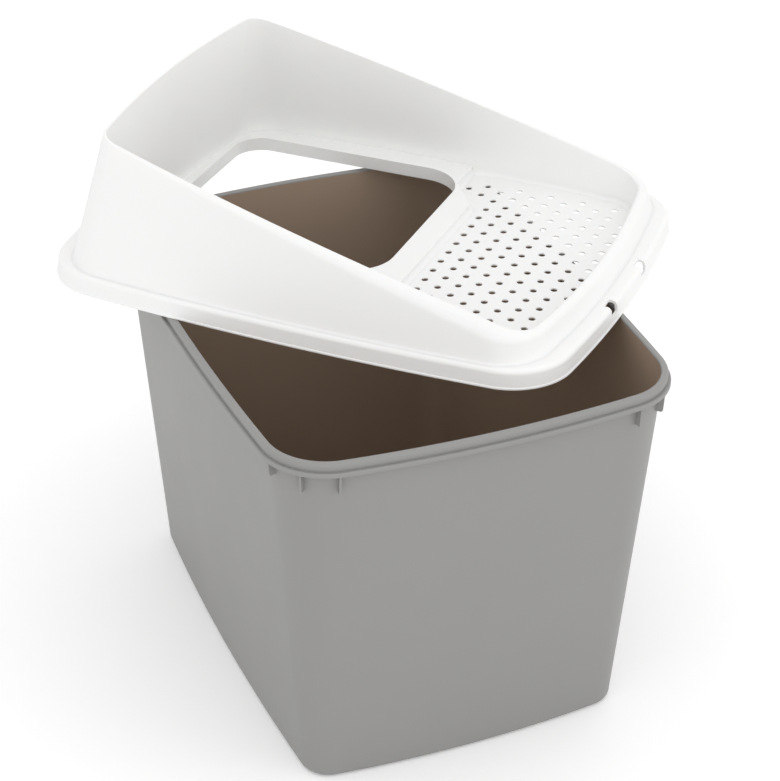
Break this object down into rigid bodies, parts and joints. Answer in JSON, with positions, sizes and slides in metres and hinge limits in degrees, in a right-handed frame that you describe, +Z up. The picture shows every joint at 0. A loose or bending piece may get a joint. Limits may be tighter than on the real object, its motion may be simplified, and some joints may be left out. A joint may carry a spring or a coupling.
{
  "type": "top entry litter box",
  "caption": "Deep open tub with a rolled rim and a separate lid laid crosswise on it, with a sloping fence round the way in and a perforated tread.",
  "frame": {"origin": "centre of the tub's base, on the floor", "axes": "+Z up, +Y along the tub's length, away from the low corner of the picture; +X along its width"},
  "size_m": [0.5648, 0.6222, 0.4951],
  "materials": {
    "tub_plastic": "semi-gloss moulded plastic",
    "lid_plastic": "fine matt moulded plastic"
  },
  "bodies": {
    "tub": {"tub": "tub_plastic"},
    "lid": {"lid_skirt": "lid_plastic", "fence": "lid_plastic", "deck": "lid_plastic", "tread": "lid_plastic"}
  },
  "joints": [
    {"name": "lid_lift", "type": "slide", "parent": "tub", "child": "lid", "axis": [0, 0, 1], "range_m": [0, 0.3]}
  ]
}
